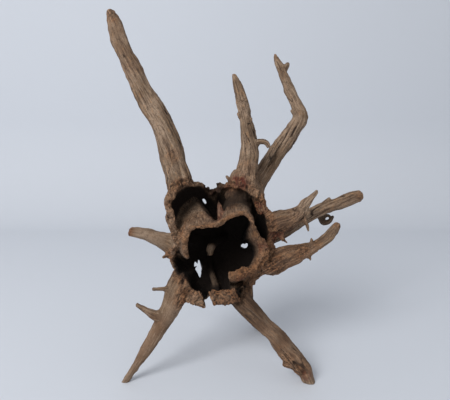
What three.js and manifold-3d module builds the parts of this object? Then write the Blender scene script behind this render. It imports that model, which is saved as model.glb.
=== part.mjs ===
// Weathered driftwood: the hollow crown of an old stump, seen from its open side, with the roots
// that are left on it broken off at different lengths. It grew as one piece, so it is one solid.
// Millimetres: +X to the right and +Y away from whoever looks into the hollow, +Z up from the table.
// It stands on the ends of three roots, and the origin is on the table under the middle of its box.
import * as THREE from "three";
import { mergeVertices } from "three/addons/utils/BufferGeometryUtils.js";
import Module from "manifold-3d";

const wasm = await Module();
wasm.setup();

// Driving dimensions.
const axisX = -24; // the hollow's axis passes over this X
const axisHeight = 202; // and is this high above the table at Y = 0
const axisFall = 0.25; // it falls by this much per millimetre towards the back
const backDepth = 44; // Y of the crown's closed back, at the axis
const wall = 10; // usual thickness of the sound wood round the hollow
const backWall = 16; // thickness of the back
const mouthFront = -130; // Y that the hollow's cutter reaches, in front of the rim
const crownTurns = 50; // points round the crown
const crownSteps = 9; // rings from its rim to its back
const ringFrom = -84; // the inner wall goes round from this angle, below on the right,
const ringTo = 203; // over the top and down to this one, and is open between the two
const ringBack = 26; // Y where it runs into the back
const ringTurns = 38;
const ringSteps = 5;
const flareBend = 1.1; // above 1, its flare starts slowly
const rootSides = 9; // sides of a root's section
const rootStep = 14; // distance between a root's rings
const twigRadius = 11; // what is thinner than this at its base has fewer sides and closer rings
const twigSides = 6;
const twigStep = 9;
const tableBlock = 60; // the block that wears the legs' ends flat is this deep

const radians = (degrees) => (degrees * Math.PI) / 180;
const mix = (a, b, t) => a + (b - a) * t;
const smooth = (t) => t * t * (3 - 2 * t);

// Small smooth lumps and hollows, from a fixed lattice of pseudo-random values.
function latticeValue(i, j, k) {
  let h = Math.imul(i, 374761393) ^ Math.imul(j, 668265263) ^ Math.imul(k, 2147483647);
  h = Math.imul(h ^ (h >>> 13), 1274126177);
  return ((h ^ (h >>> 16)) >>> 0) / 2147483648 - 1;
}

const cellCorners = [0, 1, 2, 3, 4, 5, 6, 7].map((n) => [n & 1, (n >> 1) & 1, n >> 2]);

function noise(x, y, z) {
  const [i, j, k] = [x, y, z].map(Math.floor);
  const [u, v, w] = [x - i, y - j, z - k].map(smooth);
  let sum = 0;
  for (const [a, b, c] of cellCorners) {
    const share = (a ? u : 1 - u) * (b ? v : 1 - v) * (c ? w : 1 - w);
    sum += share * latticeValue(i + a, j + b, k + c);
  }
  return sum;
}

// Rows of [angle in degrees, value, value, ...] round a circle, joined by smooth steps.
function roundProfile(rows) {
  return (degrees) => {
    const angle = ((degrees % 360) + 360) % 360;
    const next = rows.findIndex((row) => row[0] > angle);
    const after = rows[next < 0 ? 0 : next];
    const before = rows[next < 0 ? rows.length - 1 : (next + rows.length - 1) % rows.length];
    const span = (after[0] - before[0] + 360) % 360;
    const t = ((angle - before[0] + 360) % 360) / span;
    return before.slice(1).map((value, c) => mix(value, after[c + 1], smooth(t)));
  };
}

// Solids and geometry. Only positions are kept, and faces that point inwards are turned round.
function toSolid(geometry) {
  geometry.deleteAttribute("normal");
  geometry.deleteAttribute("uv");
  const merged = mergeVertices(geometry, 1e-4);
  const vertProperties = new Float32Array(merged.attributes.position.array);
  const triVerts = new Uint32Array(merged.index.array);
  const make = () => new wasm.Manifold(new wasm.Mesh({ numProp: 3, vertProperties, triVerts }));
  const made = make();
  if (made.volume() > 0) return made;
  triVerts.reverse();
  return make();
}

function toGeometry(solid) {
  const mesh = solid.getMesh();
  const geometry = new THREE.BufferGeometry();
  geometry.setAttribute("position", new THREE.BufferAttribute(mesh.vertProperties, 3));
  geometry.setIndex(new THREE.BufferAttribute(mesh.triVerts, 1));
  geometry.computeVertexNormals();
  return geometry;
}

const join = (solids) => solids.reduce((whole, next) => whole.add(next));
const cut = (whole, solids) => solids.reduce((left, next) => left.subtract(next), whole);

// A closed solid from rings of points, each with the same number, closed at both ends by a fan.
function solidFromRings(rings) {
  const across = rings[0].length;
  const points = rings.flat();
  const faces = [];
  for (let r = 0; r < rings.length - 1; r++) {
    for (let s = 0; s < across; s++) {
      const [a, b] = [r * across + s, r * across + ((s + 1) % across)];
      faces.push(a, b, a + across, b, b + across, a + across);
    }
  }
  for (const ring of [0, rings.length - 1]) {
    const middle = points.length;
    const sum = rings[ring].reduce((m, p) => m.add(p), new THREE.Vector3());
    points.push(sum.divideScalar(across));
    for (let s = 0; s < across; s++) {
      const [a, b] = [ring * across + s, ring * across + ((s + 1) % across)];
      faces.push(...(ring ? [a, b, middle] : [b, a, middle]));
    }
  }
  const geometry = new THREE.BufferGeometry().setFromPoints(points);
  geometry.setIndex(faces);
  return toSolid(geometry);
}

// A root or twig: an uneven, slightly fluted section carried along a smooth path. Each station is
// [x, y, z, radius]. depth is the section's thickness as a share of its width.
function root({ stations, depth = 0.85, flutes = 0.08, lumps = 0.1, worn = true }) {
  const places = stations.map(([x, y, z]) => new THREE.Vector3(x, y, z));
  const curve = new THREE.CatmullRomCurve3(places, false, "centripetal");
  const thin = stations[0][3] < twigRadius;
  const sides = thin ? twigSides : rootSides;
  const steps = Math.max(3, Math.round(curve.getLength() / (thin ? twigStep : rootStep)));
  const rings = [];
  for (let n = 0; n <= steps; n++) {
    const u = curve.getUtoTmapping(n / steps);
    const place = curve.getPoint(u);
    const along = curve.getTangent(u);
    const wide = new THREE.Vector3(0, 1, 0).cross(along).normalize();
    const deep = along.clone().cross(wide).normalize();
    const at = u * (stations.length - 1);
    const station = Math.min(Math.floor(at), stations.length - 2);
    const radius = mix(stations[station][3], stations[station + 1][3], at - station);
    const ring = (share, shift) =>
      Array.from({ length: sides }, (_, s) => {
        const turn = (2 * Math.PI * s) / sides;
        const fluted = 1 - flutes * (1 - (Math.sin(5 * turn + at) + Math.sin(3 * turn + 2 * at)) / 2);
        const lump = 1 + lumps * noise(2 * Math.cos(turn) + 9, 2 * Math.sin(turn), place.length() / 22);
        const out = radius * share * fluted * lump;
        return place
          .clone()
          .addScaledVector(wide, out * Math.cos(turn))
          .addScaledVector(deep, out * Math.sin(turn) * depth)
          .addScaledVector(along, shift);
      });
    rings.push(ring(1, 0));
    if (n === steps && worn) rings.push(ring(0.68, radius * 0.5));
  }
  return solidFromRings(rings);
}

// A lump, or the shape of a hole: a ball stretched to its half sizes, with its Y turned towards a
// direction.
function lump({ at, half, toward = [0, 1, 0] }) {
  const geometry = new THREE.IcosahedronGeometry(1, 1);
  geometry.scale(...half);
  const turned = new THREE.Vector3(...toward).normalize();
  const turn = new THREE.Quaternion().setFromUnitVectors(new THREE.Vector3(0, 1, 0), turned);
  geometry.applyQuaternion(turn);
  geometry.translate(...at);
  return toSolid(geometry);
}

function polarPoint(degrees, radius, y) {
  const across = axisX + radius * Math.cos(radians(degrees));
  return new THREE.Vector3(across, y, axisHeight - axisFall * y + radius * Math.sin(radians(degrees)));
}

// The crown's broken front rim: [angle, outer radius, Y of the rim, thickness of the lip].
const crownRim = roundProfile([
  [0, 80, -58, 12],
  [24, 84, -56, 9],
  [40, 90, -50, 11],
  [55, 104, -46, 15],
  [76, 106, -44, 11],
  [85, 103, -24, 9],
  [92, 103, -14, 8],
  [97, 106, -18, 7],
  [103, 95, -8, 7],
  [108, 102, -20, 7],
  [113, 112, -46, 7],
  [126, 124, -60, 8],
  [140, 121, -66, 11],
  [155, 104, -78, 13],
  [168, 89, -82, 12],
  [178, 82, -80, 9],
  [189, 88, -64, 7],
  [199, 98, -47, 6],
  [211, 97, -44, 7],
  [222, 96, -74, 16],
  [236, 109, -84, 28],
  [248, 107, -87, 30],
  [268, 100, -88, 30],
  [285, 97, -86, 28],
  [291, 89, -52, 9],
  [306, 84, -48, 9],
  [318, 80, -66, 14],
  [336, 78, -66, 14],
]);

// The inner wall round the main hollow: [angle, inner radius, Y of its front, thickness, flare]. The
// wall spreads outwards by the flare on its way to the back.
const ringRim = roundProfile([
  [3, 48, -88, 16, -12],
  [12, 44, -88, 11, -16],
  [29, 47, -90, 9, -12],
  [45, 50, -91, 9, 14],
  [58, 50, -92, 9, 42],
  [70, 43, -92, 10, 56],
  [84, 35, -92, 10, 58],
  [94, 31, -92, 9, 24],
  [101, 29, -92, 9, 8],
  [113, 28, -92, 9, 8],
  [124, 28, -92, 9, 80],
  [144, 38, -92, 9, 72],
  [152, 51, -92, 9, 54],
  [160, 55, -92, 10, 46],
  [172, 56, -92, 12, 40],
  [190, 58, -90, 13, 28],
  [203, 59, -86, 11, 14],
  [275, 44, -84, 17, 26],
  [303, 47, -85, 17, 20],
  [317, 54, -86, 16, 10],
  [348, 54, -87, 17, -6],
]);

// The crown's radius shrinks towards the closed back as a superellipse does.
const closing = (share) => (1 - share ** 2.6) ** 0.55;

// The crown's outside or, set in by its wall, the hollow. With a mouth it reaches out past the rim.
function crownBody({ inset, back, mouth }) {
  const rings = [];
  for (let n = mouth ? -1 : 0; n <= crownSteps; n++) {
    const share = Math.sin((Math.PI / 2) * Math.min(Math.max(n, 0) / crownSteps, 0.97));
    const ring = [];
    for (let s = 0; s < crownTurns; s++) {
      const degrees = (360 * s) / crownTurns;
      const [radius, rimY, lip] = crownRim(degrees);
      const thick = inset ? mix(lip, wall, Math.min(1, 3 * share)) : 0;
      const y = mix(rimY + 5 * noise(s, 3, 1), back, share);
      const [c, d] = [Math.cos(radians(degrees)), Math.sin(radians(degrees))];
      const swell = 5 * noise(2.4 * c + 5, 2.4 * d + 5, y / 25);
      const out = (radius - thick) * closing(share) + swell * (1 - share);
      ring.push(polarPoint(degrees, Math.max(out, 2), n < 0 ? mouthFront : y));
    }
    rings.push(ring);
  }
  return solidFromRings(rings);
}

// The inner wall: its section, in radius and Y, is carried round the main hollow.
function ringWall() {
  const sections = [];
  for (let n = 0; n <= ringTurns; n++) {
    const degrees = mix(ringFrom, ringTo, n / ringTurns);
    const [inner, rimY, thick, flare] = ringRim(degrees);
    const jag = 3 * noise(n * 0.8, 5, 2);
    const point = (t, offset) => {
      const swell = 1.5 * noise(n * 0.5, t * 4, offset + 3);
      const radius = inner + offset + flare * t ** flareBend + swell;
      return polarPoint(degrees, radius, mix(rimY + jag, ringBack, t));
    };
    const section = [];
    for (let m = 0; m <= ringSteps; m++) section.push(point(m / ringSteps, 0));
    for (let m = ringSteps; m >= 0; m--) section.push(point(m / ringSteps, thick));
    const edge = point(0, thick / 2);
    edge.y -= thick * 0.3;
    section.push(edge);
    sections.push(section);
  }
  return solidFromRings(sections);
}

// Roots, from where they leave the crown's back outwards.
const roots = {
  longUpperLeft: {
    stations: [
      [-38, 38, 212, 11],
      [-55, 30, 236, 15],
      [-70, 12, 258, 20],
      [-84, -14, 276, 27],
      [-94, -44, 306, 24],
      [-104, -48, 342, 20.5],
      [-111, -46, 369, 20.6],
      [-125, -42, 406, 20],
      [-145, -38, 442, 18.6],
      [-162, -34, 476, 16.2],
      [-178, -29, 508, 15.4],
      [-191, -24, 539, 14.8],
      [-201, -20, 568, 12.6],
      [-207, -17, 584, 7.5],
    ],
  },
  upperMiddle: {
    stations: [
      [-20, 37, 222, 10],
      [-10, 30, 246, 15],
      [2, 12, 268, 20],
      [14, -18, 282, 31],
      [12, -26, 313, 25],
      [12, -26, 336, 19],
      [13, -24, 366, 15.6],
      [12, -20, 395, 13.4],
      [8, -16, 428, 12.6],
      [1, -12, 456, 10.4],
      [-5, -8, 476, 8.6],
      [-9, -7, 488, 4.6],
    ],
    lumps: 0.16,
  },
  upperRight: {
    stations: [
      [-2, 37, 210, 9],
      [10, 31, 232, 14],
      [19, 18, 256, 18],
      [25, 4, 281, 20],
      [32, 6, 307, 18],
      [54, 16, 338, 17],
      [76, 26, 369, 16.4],
      [97, 36, 399, 15.8],
      [111, 46, 424, 15],
      [105, 56, 447, 12],
      [95, 68, 474, 10.4],
      [86, 82, 501, 9.6],
      [78, 96, 525, 9],
      [71, 108, 546, 3.6],
    ],
  },
  rightSlab: {
    stations: [
      [42, -48, 222, 15],
      [57, -56, 247, 20],
      [78, -54, 254, 17.4],
      [94, -52, 264, 12],
      [108, -50, 281, 8],
      [125, -48, 301, 3.6],
    ],
    depth: 0.6,
    lumps: 0.2,
  },
  rightLong: {
    stations: [
      [-2, 38, 188, 10],
      [20, 27, 198, 14],
      [40, 6, 208, 17],
      [60, -8, 219, 15.6],
      [80, -12, 230, 14.5],
      [114, -10, 251, 13.5],
      [142, -12, 264, 12.6],
      [172, -14, 276, 12.8],
      [191, -17, 285, 12.8],
      [204, -19, 289, 11],
    ],
  },
  lowerRight: {
    stations: [
      [-8, 35, 170, 10],
      [14, 18, 163, 14],
      [30, -14, 168, 17],
      [40, -46, 176, 20],
      [52, -65, 183, 20],
      [72, -64, 191, 16],
      [99, -58, 200, 12.6],
      [121, -52, 209, 11.2],
      [142, -46, 221, 10.2],
      [156, -41, 235, 9.2],
      [163, -38, 243, 7],
    ],
    lumps: 0.2,
  },
  leftShort: {
    stations: [
      [-46, 37, 192, 11],
      [-68, 24, 196, 16],
      [-84, 0, 201, 20],
      [-98, -27, 204, 22],
      [-113, -36, 213, 18.8],
      [-136, -38, 221, 13.8],
      [-157, -39, 227, 10],
      [-178, -40, 231, 8.2],
    ],
    worn: false,
  },
  leftLeg: {
    stations: [
      [-42, 35, 170, 10],
      [-60, 22, 153, 15],
      [-75, -6, 149, 19],
      [-85, -48, 155, 23],
      [-96, -66, 140, 22.5],
      [-113, -76, 113, 17.4],
      [-128, -84, 84, 13.8],
      [-145, -89, 56, 11.4],
      [-163, -94, 30, 7.8],
      [-186, -98, -4, 5.4],
    ],
    lumps: 0.06,
    worn: false,
  },
  rightLeg: {
    stations: [
      [-10, 16, 146, 12],
      [-6, -12, 130, 16],
      [-4, -46, 125, 17],
      [9, -61, 115, 17.6],
      [23, -68, 102, 16],
      [40, -76, 85, 14.2],
      [54, -81, 73, 14.2],
      [68, -86, 57, 15.8],
      [85, -91, 38, 17.2],
      [101, -95, 21, 15.6],
      [113, -98, -4, 9.5],
    ],
    lumps: 0.16,
    worn: false,
  },
  hindLeg: {
    stations: [
      [-26, 37, 168, 13],
      [-22, 30, 146, 19],
      [-13, 36, 120, 19],
      [3, 49, 90, 16.5],
      [25, 70, 45, 13.5],
      [44, 84, 20, 12.5],
      [61, 97, -4, 11.5],
    ],
    worn: false,
  },
};

// Side twigs, stubs and split strands, from inside what they grow on outwards.
const twigs = {
  upperLegStub: [[-98, -68, 143, 6], [-108, -74, 146, 4.6], [-123, -78, 147, 4.6], [-139, -80, 147, 3.8]],
  lowerLegStub: [[-114, -78, 104, 10], [-128, -84, 106, 9.4], [-141, -86, 110, 7.6], [-164, -84, 123, 4]],
  hookedTwig: [[14, -23, 364, 7], [24, -24, 377, 4.8], [34, -28, 382, 4.2], [43, -31, 380, 3.8], [48, -32, 373, 3.2]],
  longRootSpike: [[138, -12, 262, 7], [147, -14, 277, 4.5], [156, -14, 287, 1.6]],
  longRootCurl: [[132, -8, 260, 6], [141, -3, 247, 4.2], [148, 0, 238, 4.6], [158, 1, 241, 4.6], [166, 1, 250, 3.6]],
  tipStub: [[84, 88, 510, 7], [91, 90, 518, 5], [94, 90, 525, 3]],
  elbowStub: [[108, 42, 416, 8], [101, 40, 427, 5], [94, 38, 435, 3.4]],
  splitStrand: [[30, 0, 318, 10], [41, 3, 334, 10], [53, 9, 353, 9], [68, 19, 375, 8.6], [98, 35, 411, 5]],
  slabTwig: [[98, -52, 266, 6], [105, -55, 252, 4], [109, -56, 242, 3], [111, -56, 233, 2]],
  rimNub: [[-108, -44, 198, 7], [-118, -49, 194, 5], [-127, -51, 191, 3]],
  brokenShoulder: [[27, -16, 306, 13], [31, -28, 290, 12], [35, -37, 275, 10.5], [38, -41, 264, 8]],
  lowerRightStrand: [[42, -66, 192, 10.5], [60, -64, 204, 9], [78, -61, 209, 6], [128, -51, 215, 3.2]],
  heelKnob: [[94, -95, 22, 9], [80, -97, 28, 8], [70, -98, 31, 7]],
  hollowStub: [[-20, 34, 210, 9], [-29, 12, 207, 7], [-41, -6, 204, 7], [-48, -15, 199, 8], [-50, -18, 187, 7]],
  floorRidge: [[-52, 24, 170, 6], [-50, 6, 155, 6], [-43, -12, 139, 6], [-37, -34, 128, 6]],
  splinter: [[-30, -58, 258, 8], [-32, -50, 268, 6], [-35, -44, 286, 1.6]],
};

// Lumps on the wood, and what rot and worms took out of it.
const knots = {
  hollowKnob: { at: [-1, -13, 289], half: [23, 18, 15] },
  longRootNub: { at: [-176, -34, 482], half: [6, 5, 5] },
  upperMiddleFlare: { at: [-6, -21, 315], half: [10, 10, 19] },
};

const pockets = {
  backSlit: { at: [-73, 30, 146], half: [8, 50, 15], toward: [-0.06, 1, -0.31] },
  backHole: { at: [15, 42, 188], half: [7, 34, 6], toward: [0.06, 1, -0.26] },
  topSlit: { at: [-61, 14, 276], half: [5, 26, 5], toward: [-0.05, 1, -0.15] },
  lobeNotch: { at: [-57, -78, 116], half: [5, 34, 21], toward: [0, 1, -0.3] },
  legHollow: { at: [9, -58, 139], half: [12, 30, 9], toward: [0.06, 1, -0.2] },
  rootKnothole: { at: [48, -86, 175], half: [5, 9, 4.5] },
};

// The table's plane wears the legs' ends flat.
function belowTable() {
  const block = new THREE.BoxGeometry(1000, 1000, tableBlock);
  block.translate(0, 0, -tableBlock / 2);
  return toSolid(block);
}

const outside = crownBody({ inset: false, back: backDepth });
const hollow = crownBody({ inset: true, back: backDepth - backWall, mouth: true });
const shell = cut(join([outside, ...Object.values(roots).map(root)]), [hollow]);
const innerWall = ringWall().intersect(crownBody({ inset: false, back: backDepth, mouth: true }));
const grown = join([
  shell,
  innerWall,
  ...Object.values(twigs).map((stations) => root({ stations, lumps: 0.14 })),
  ...Object.values(knots).map(lump),
]);
const worn = cut(grown, [...Object.values(pockets).map(lump), belowTable()]);

const driftwood = new THREE.Mesh(
  toGeometry(worn),
  new THREE.MeshStandardMaterial({ color: 0x8c7460, roughness: 0.9, metalness: 0 }),
);
driftwood.name = "driftwood";

const part = new THREE.Group();
part.add(driftwood);
export default part;
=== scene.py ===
from math import cos, pi, radians, sin

import bpy
import numpy as np
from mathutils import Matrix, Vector


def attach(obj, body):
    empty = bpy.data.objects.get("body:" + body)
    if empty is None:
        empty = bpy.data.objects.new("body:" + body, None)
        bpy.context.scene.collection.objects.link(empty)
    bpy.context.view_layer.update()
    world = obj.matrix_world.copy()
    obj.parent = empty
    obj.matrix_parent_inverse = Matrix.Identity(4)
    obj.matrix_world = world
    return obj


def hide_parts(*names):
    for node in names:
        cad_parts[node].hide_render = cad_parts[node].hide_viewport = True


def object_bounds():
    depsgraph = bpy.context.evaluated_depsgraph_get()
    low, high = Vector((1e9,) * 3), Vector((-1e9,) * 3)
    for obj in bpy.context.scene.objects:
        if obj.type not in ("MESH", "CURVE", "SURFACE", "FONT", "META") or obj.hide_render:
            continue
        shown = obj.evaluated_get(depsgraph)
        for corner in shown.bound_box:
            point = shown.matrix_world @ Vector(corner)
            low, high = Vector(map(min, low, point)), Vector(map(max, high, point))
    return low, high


# The hollow crown of an old stump with its broken roots: shells made by formulas, grown together by a
# fine remesh, hollowed, and then given grain, cracks and rot point by point. Sizes are millimetres
# until a mesh is written, which turns them into metres.
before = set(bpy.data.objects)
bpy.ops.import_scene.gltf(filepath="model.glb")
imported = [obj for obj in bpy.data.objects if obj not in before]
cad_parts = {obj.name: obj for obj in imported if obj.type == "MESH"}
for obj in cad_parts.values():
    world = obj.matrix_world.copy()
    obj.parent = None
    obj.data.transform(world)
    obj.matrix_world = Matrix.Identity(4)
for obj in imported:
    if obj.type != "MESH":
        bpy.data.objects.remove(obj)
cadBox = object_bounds()
node = "driftwood"
print("frame loaded")

perMetre = 1000  # millimetres


# A smooth step: t squared times 3 - 2 t.
def smooth(t):
    return t * t * (3 - 2 * t)


# A soft step from 0 at low to 1 at high.
def step(value, low, high):
    return smooth(np.clip((value - low) / (high - low), 0, 1))


# A pseudo-random value from -1 to 1 for each point of a whole-number lattice: its numbers times large
# primes, their bits mixed with one another, folded twice and divided by half their range.
def latticeValue(i, j, k):
    i, j, k = (c.astype(np.int64).astype(np.uint32) for c in (i, j, k))
    h = (i * np.uint32(374761393)) ^ (j * np.uint32(668265263)) ^ (k * np.uint32(2147483647))
    h = (h ^ (h >> np.uint32(13))) * np.uint32(1274126177)
    return (h ^ (h >> np.uint32(16))).astype(float) / 2147483648 - 1


# Smooth lumps from -1 to 1: the lattice values at a cell's eight corners, mixed by smooth steps.
def noise(x, y, z):
    x, y, z = np.broadcast_arrays(*(np.asarray(c, float) for c in (x, y, z)))
    low = [np.floor(c) for c in (x, y, z)]
    part = [smooth(c - f) for c, f in zip((x, y, z), low)]
    total = np.zeros(x.shape)
    for a, b, c in np.ndindex(2, 2, 2):
        share = (part[0] if a else 1 - part[0]) * (part[1] if b else 1 - part[1])
        share = share * (part[2] if c else 1 - part[2])
        total += share * latticeValue(low[0] + a, low[1] + b, low[2] + c)
    return total


# Values listed against angles round a circle, joined by smooth steps.
def roundProfile(rows, degrees):
    table = np.array(rows, float)
    angle = np.mod(degrees, 360)
    after = np.searchsorted(table[:, 0], angle, side="right") % len(table)
    before = after - 1
    span = np.mod(table[after, 0] - table[before, 0], 360)
    t = smooth(np.mod(angle - table[before, 0], 360) / span)[..., None]
    values = table[before, 1:] * (1 - t) + table[after, 1:] * t
    return np.moveaxis(values, -1, 0)


# A closed shell from rings of points: two triangles between neighbours, and a fan at each end. It is
# turned inside out if its volume comes out negative.
def closedShell(rings):
    rows, across = rings.shape[:2]
    at = np.arange(rows * across).reshape(rows, across)
    beside = np.roll(at, -1, 1)
    a, b, c, d = at[:-1], beside[:-1], at[1:], beside[1:]
    near = np.full(across, rows * across)
    faces = [np.stack(f, -1).reshape(-1, 3) for f in ((a, b, c), (b, d, c))]
    faces += [np.stack((beside[0], at[0], near), -1), np.stack((at[-1], beside[-1], near + 1), -1)]
    faces = np.concatenate(faces)
    points = np.concatenate([rings.reshape(-1, 3), rings[:1].mean(1), rings[-1:].mean(1)])
    p = points[faces]
    if np.einsum("ij,ij->", p[:, 0], np.cross(p[:, 1], p[:, 2])) < 0:
        faces = faces[:, ::-1]
    return points, faces


# Several shells in one mesh, one after the other.
def together(shells):
    offsets = np.cumsum([0] + [len(points) for points, faces in shells])
    points = np.concatenate([points for points, faces in shells])
    faces = np.concatenate([faces + offset for (points, faces), offset in zip(shells, offsets)])
    return points, faces


# A new object with a triangle mesh, whose points are turned into metres.
def meshObject(name, shell):
    points, faces = shell
    mesh = bpy.data.meshes.new(name)
    mesh.vertices.add(len(points))
    mesh.vertices.foreach_set("co", (points / perMetre).astype(np.float32).ravel())
    mesh.loops.add(faces.size)
    mesh.loops.foreach_set("vertex_index", faces.ravel().astype(np.int32))
    mesh.polygons.add(len(faces))
    mesh.polygons.foreach_set("loop_start", np.arange(0, faces.size, 3, dtype=np.int32))
    mesh.update(calc_edges=True)
    made = bpy.data.objects.new(name, mesh)
    bpy.context.scene.collection.objects.link(made)
    return made


# A piece that gets a new surface round it, of even voxels.
def remesh(piece, voxel):
    modifier = piece.modifiers.new("grown together", "REMESH")
    modifier.mode = "VOXEL"
    modifier.voxel_size = voxel / perMetre
    return piece


# A piece that another is cut out of, or that keeps only what both share.
def boolean(piece, operation, other):
    modifier = piece.modifiers.new(operation.lower(), "BOOLEAN")
    modifier.operation = operation
    modifier.solver = "MANIFOLD"
    modifier.object = other
    return piece


# The mesh that a piece's modifiers make, as points in millimetres and triangles.
def result(piece):
    seen = bpy.context.evaluated_depsgraph_get()
    mesh = bpy.data.meshes.new_from_object(piece.evaluated_get(seen))
    mesh.calc_loop_triangles()
    points = np.empty(len(mesh.vertices) * 3, np.float32)
    mesh.vertices.foreach_get("co", points)
    faces = np.empty(len(mesh.loop_triangles) * 3, np.int32)
    mesh.loop_triangles.foreach_get("vertices", faces)
    bpy.data.meshes.remove(mesh)
    return points.reshape(-1, 3).astype(float) * perMetre, faces.reshape(-1, 3)


# Takes helper objects and their meshes out again.
def discard(*objects):
    for used in objects:
        mesh = used.data
        bpy.data.objects.remove(used)
        bpy.data.meshes.remove(mesh)


# The crown round the hollow. Its rim rows are [angle, outer radius, Y of the rim, thickness of the lip],
# with the angle in degrees round the hollow's axis, from the right over the top.
crown = {
    "axisX": -24, "axisHeight": 202, "axisFall": 0.25,  # where the hollow's axis runs
    "back": 44, "wall": 10, "backWall": 16, "mouthFront": -130, "least": 2,
    "turns": 200, "steps": 40, "lastStep": 0.97,
    "teeth": 50, "toothHeight": 5,  # how many round the rim, and how far they go to and fro
    "swell": 5, "swellSize": 25, "swellsRound": 2.4,
    "rim": [
        [0, 80, -58, 12], [24, 84, -56, 9], [40, 90, -50, 11], [55, 104, -46, 15], [76, 106, -44, 11],
        [85, 103, -24, 9], [92, 103, -14, 8], [97, 106, -18, 7], [103, 95, -8, 7], [108, 102, -20, 7],
        [113, 112, -46, 7], [126, 124, -60, 9], [140, 121, -66, 14], [155, 104, -78, 17],
        [168, 89, -82, 15], [178, 82, -80, 10], [189, 88, -64, 7], [199, 98, -47, 6],
        [211, 97, -44, 7], [222, 96, -74, 16], [236, 112, -84, 28], [250, 111, -87, 32],
        [258, 103, -88, 30], [270, 103, -88, 32], [285, 98, -86, 28], [291, 89, -52, 9],
        [306, 84, -48, 9], [318, 80, -66, 14], [336, 78, -66, 14],
    ],
}

# The inner wall that divides the hollow. Its rim rows are [angle, inner radius, Y of the front,
# thickness, flare on the way to the back].
ring = {
    "from": -84, "to": 203, "back": 26, "turns": 240, "steps": 30, "flareBend": 1.1,
    "cells": 38, "jag": 3, "swell": 1.5,  # lumps along it, and how far its edge and sides go to and fro
    "rim": [
        [3, 48, -88, 16, -12], [12, 44, -88, 11, -16], [29, 47, -90, 9, -12], [45, 50, -91, 9, 14],
        [58, 50, -92, 9, 42], [70, 43, -92, 10, 56], [84, 35, -92, 10, 58], [94, 31, -92, 9, 24],
        [101, 29, -92, 9, 8], [113, 28, -92, 9, 8], [124, 28, -92, 9, 80], [144, 38, -92, 9, 72],
        [152, 51, -92, 9, 54], [160, 55, -92, 10, 46], [172, 56, -92, 12, 40], [190, 58, -90, 9, 28],
        [203, 59, -86, 6, 14], [275, 44, -84, 17, 26], [303, 47, -85, 17, 20], [317, 54, -86, 16, 10],
        [348, 54, -87, 17, -6],
    ],
}


# Points at an angle and radius round the hollow's axis, which falls towards the back.
def polarPoints(degrees, radius, y):
    turn = np.radians(degrees)
    height = crown["axisHeight"] - crown["axisFall"] * y
    points = (crown["axisX"] + radius * np.cos(turn), y + 0 * radius, height + radius * np.sin(turn))
    return np.stack(np.broadcast_arrays(*points), -1)


# The share of the rim's radius that is left on the way to the closed back, a superellipse: 1 less the
# share to the power of 2.6, to the power of 0.55.
def closing(share):
    return np.maximum(1 - share**2.6, 0) ** 0.55


# The crown's outside, or the hollow where it is set in by the wall: rings from the rim, whose radius
# comes from the rim's rows and closes towards the back. With a mouth it reaches out past the rim.
def crownShell(inset, back, mouth):
    degrees = np.arange(crown["turns"]) * 360 / crown["turns"]
    radius, rimY, lip = roundProfile(crown["rim"], degrees)
    c, d = np.cos(np.radians(degrees)), np.sin(np.radians(degrees))
    share = np.sin(pi / 2 * np.minimum(np.linspace(0, 1, crown["steps"]), crown["lastStep"]))[:, None]
    if mouth:
        share = np.concatenate([share[:1], share])
    thick = (lip + (crown["wall"] - lip) * np.minimum(1, 3 * share)) if inset else 0
    rimY = rimY + crown["toothHeight"] * noise(degrees * crown["teeth"] / 360, 3, 1)
    y = rimY + (back - rimY) * share
    often = crown["swellsRound"]
    swell = crown["swell"] * noise(often * c + 5, often * d + 5, y / crown["swellSize"])
    out = np.maximum((radius - thick) * closing(share) + swell * (1 - share), crown["least"])
    if mouth:
        y[0] = crown["mouthFront"]
    return closedShell(polarPoints(degrees, out, y))


# The inner wall: a section in radius and Y, out along its inside and back along its outside, carried
# round the hollow. It spreads outwards by the flare on its way to the back, or inwards where that is
# below 0.
def ringShell():
    turn = np.linspace(0, 1, ring["turns"])[:, None]
    degrees = ring["from"] + (ring["to"] - ring["from"]) * turn
    inner, rimY, thick, flare = roundProfile(ring["rim"], degrees)
    n = turn * ring["cells"]
    jag = ring["jag"] * noise(n * 0.8, 5, 2)

    def side(t, offset, forward=0):
        swell = ring["swell"] * noise(n * 0.5, t * 4, offset + 3)
        radius = inner + offset + flare * t ** ring["flareBend"] + swell
        y = (rimY + jag) * (1 - t) + ring["back"] * t - forward
        return polarPoints(degrees, radius, y)

    t = np.linspace(0, 1, ring["steps"])[None, :]
    edges = [side(np.zeros((1, 1)), thick * f, thick * 0.3 * sin(pi * f)) for f in (0.8, 0.5, 0.2)]
    return closedShell(np.concatenate([side(t, 0 * thick), side(t[:, ::-1], thick)] + edges, 1))


print("crown and inner wall ready")

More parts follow.
